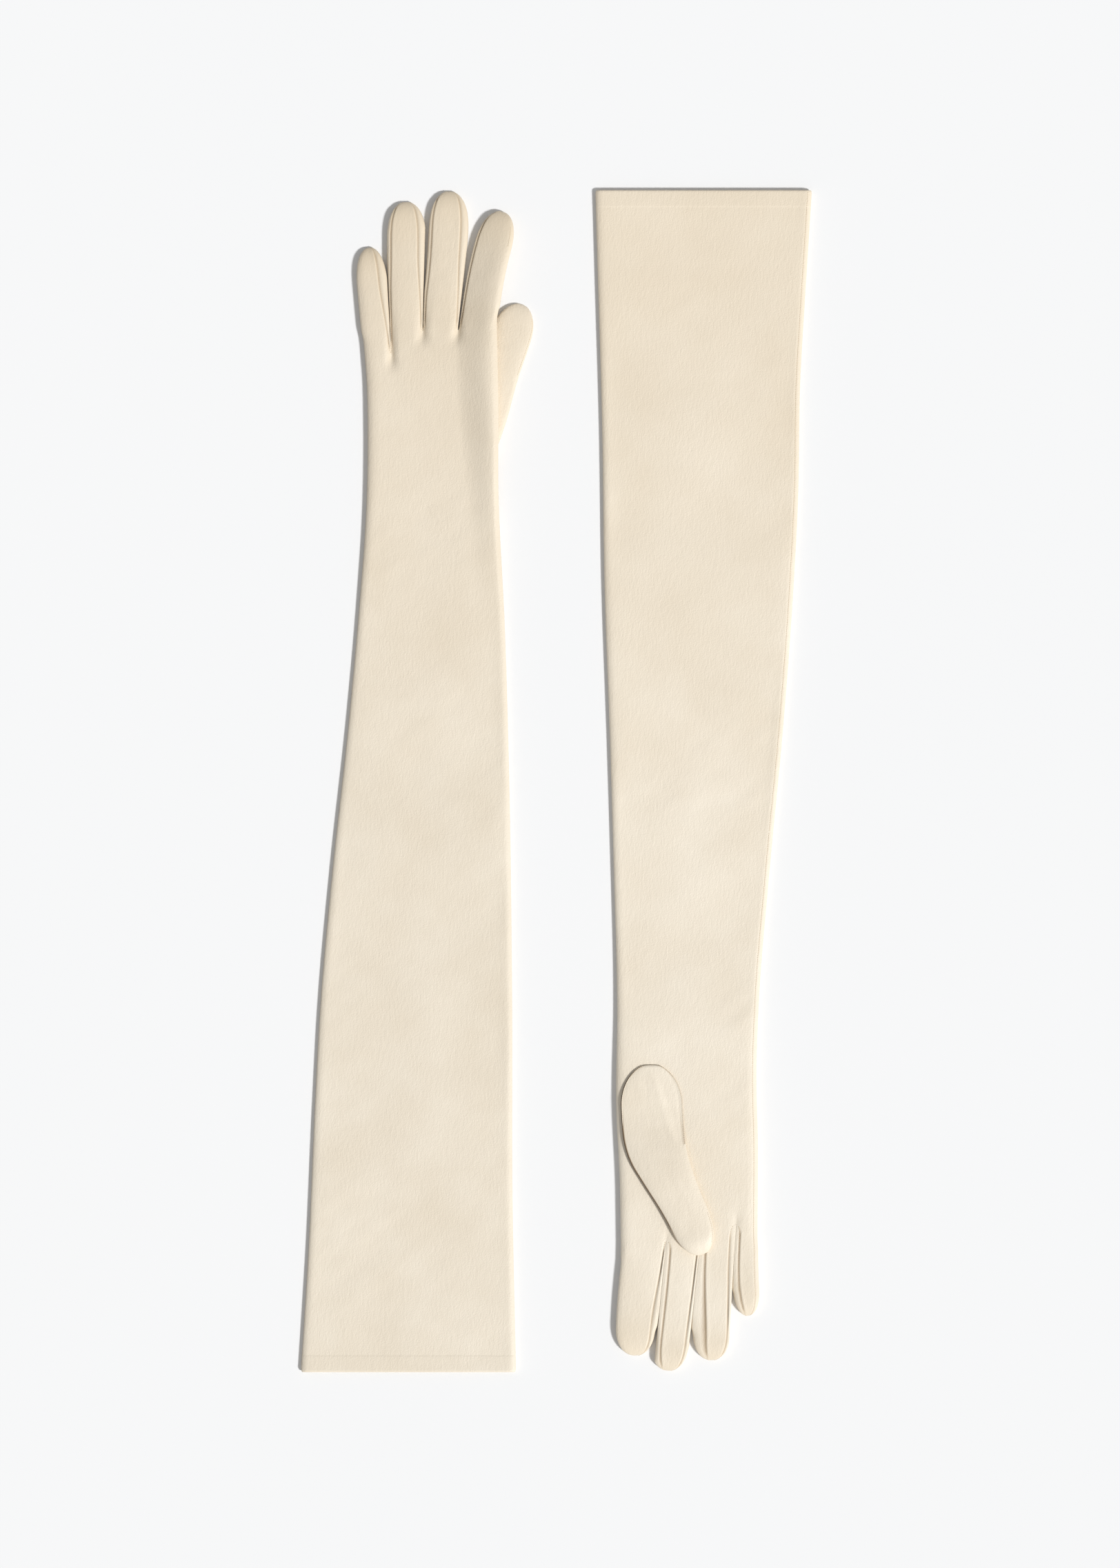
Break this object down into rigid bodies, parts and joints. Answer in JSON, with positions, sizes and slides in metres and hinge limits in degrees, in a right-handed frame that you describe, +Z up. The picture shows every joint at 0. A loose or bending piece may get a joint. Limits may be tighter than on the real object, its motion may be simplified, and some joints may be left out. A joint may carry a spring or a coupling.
{
  "type": "opera gloves",
  "caption": "Pair of long plain leather opera gloves laid flat, one back up and one palm up, with fourchettes, set-in thumbs and turned hems.",
  "frame": {"origin": "on the table, below the middle of the box round the pair", "axes": "+X across the pair towards the right glove, +Y along the left glove from its hem to its fingers, +Z up from the table"},
  "size_m": [0.295, 0.681, 0.0165],
  "materials": {
    "left_leather": "smooth ivory glove leather, fine grain, satin",
    "right_leather": "smooth ivory glove leather, fine grain, satin, a little warmer",
    "seam_thread": "fine matching cotton thread"
  },
  "bodies": {
    "left_sleeve": {"left_sleeve": "left_leather", "left_hem_facing": "left_leather"},
    "left_forearm": {"left_forearm": "left_leather"},
    "left_hand": {"left_hand": "left_leather", "left_thumb_foot": "left_leather"},
    "left_thumb": {"left_thumb": "left_leather"},
    "left_index": {"left_index_finger": "left_leather", "left_index_fourchette_little_side": "left_leather"},
    "left_middle": {"left_middle_finger": "left_leather", "left_middle_fourchette_thumb_side": "left_leather", "left_middle_fourchette_little_side": "left_leather"},
    "left_ring": {"left_ring_finger": "left_leather", "left_ring_fourchette_thumb_side": "left_leather", "left_ring_fourchette_little_side": "left_leather"},
    "left_little": {"left_little_finger": "left_leather", "left_little_fourchette_thumb_side": "left_leather"},
    "right_sleeve": {"right_sleeve": "right_leather", "right_hem_facing": "right_leather"},
    "right_forearm": {"right_forearm": "right_leather"},
    "right_hand": {"right_hand": "right_leather", "right_thumb_foot": "right_leather"},
    "right_thumb": {"right_thumb": "right_leather"},
    "right_index": {"right_index_finger": "right_leather", "right_index_fourchette_little_side": "right_leather"},
    "right_middle": {"right_middle_finger": "right_leather", "right_middle_fourchette_thumb_side": "right_leather", "right_middle_fourchette_little_side": "right_leather"},
    "right_ring": {"right_ring_finger": "right_leather", "right_ring_fourchette_thumb_side": "right_leather", "right_ring_fourchette_little_side": "right_leather"},
    "right_little": {"right_little_finger": "right_leather", "right_little_fourchette_thumb_side": "right_leather"}
  },
  "joints": [
    {"name": "left_elbow_fold", "type": "hinge", "parent": "left_sleeve", "child": "left_forearm", "pos_m": [-0.083, -0.1005, 0.009], "axis": [1, 0, 0], "range_deg": [0, 145]},
    {"name": "left_wrist_fold", "type": "hinge", "parent": "left_forearm", "child": "left_hand", "pos_m": [-0.073, 0.1445, 0.009], "axis": [1, 0, 0], "range_deg": [0, 70]},
    {"name": "left_index_fold", "type": "hinge", "parent": "left_hand", "child": "left_index", "pos_m": [-0.0456, 0.2765, 0.0164], "axis": [1, 0, 0], "range_deg": [0, 90]},
    {"name": "left_middle_fold", "type": "hinge", "parent": "left_hand", "child": "left_middle", "pos_m": [-0.0659, 0.2765, 0.0164], "axis": [1, 0, 0], "range_deg": [0, 90]},
    {"name": "left_ring_fold", "type": "hinge", "parent": "left_hand", "child": "left_ring", "pos_m": [-0.08513, 0.2765, 0.0164], "axis": [1, 0, 0], "range_deg": [0, 90]},
    {"name": "left_little_fold", "type": "hinge", "parent": "left_hand", "child": "left_little", "pos_m": [-0.1027, 0.2615, 0.009], "axis": [1, 0, 0], "range_deg": [0, 90]},
    {"name": "left_thumb_swing", "type": "hinge", "parent": "left_hand", "child": "left_thumb", "pos_m": [-0.054, 0.188, 0], "axis": [0, 0, -1], "range_deg": [0, 30]},
    {"name": "right_glove_lift", "type": "slide", "parent": "left_sleeve", "child": "right_sleeve", "axis": [0, 0, 1], "range_m": [0, 0.1]},
    {"name": "right_elbow_fold", "type": "hinge", "parent": "right_sleeve", "child": "right_forearm", "pos_m": [0.083, 0.1005, 0.009], "axis": [-1, 0, 0], "range_deg": [0, 145]},
    {"name": "right_wrist_fold", "type": "hinge", "parent": "right_forearm", "child": "right_hand", "pos_m": [0.073, -0.1445, 0.009], "axis": [-1, 0, 0], "range_deg": [0, 70]},
    {"name": "right_index_fold", "type": "hinge", "parent": "right_hand", "child": "right_index", "pos_m": [0.0498, -0.2765, 0.009], "axis": [-1, 0, 0], "range_deg": [0, 90]},
    {"name": "right_middle_fold", "type": "hinge", "parent": "right_hand", "child": "right_middle", "pos_m": [0.07072, -0.2765, 0.009], "axis": [-1, 0, 0], "range_deg": [0, 90]},
    {"name": "right_ring_fold", "type": "hinge", "parent": "right_hand", "child": "right_ring", "pos_m": [0.0906, -0.2765, 0.009], "axis": [-1, 0, 0], "range_deg": [0, 90]},
    {"name": "right_little_fold", "type": "hinge", "parent": "right_hand", "child": "right_little", "pos_m": [0.10803, -0.2615, 0.009], "axis": [-1, 0, 0], "range_deg": [0, 90]},
    {"name": "right_thumb_swing", "type": "hinge", "parent": "right_hand", "child": "right_thumb", "pos_m": [0.054, -0.188, 0.0095], "axis": [0, 0, -1], "range_deg": [0, 60]}
  ]
}
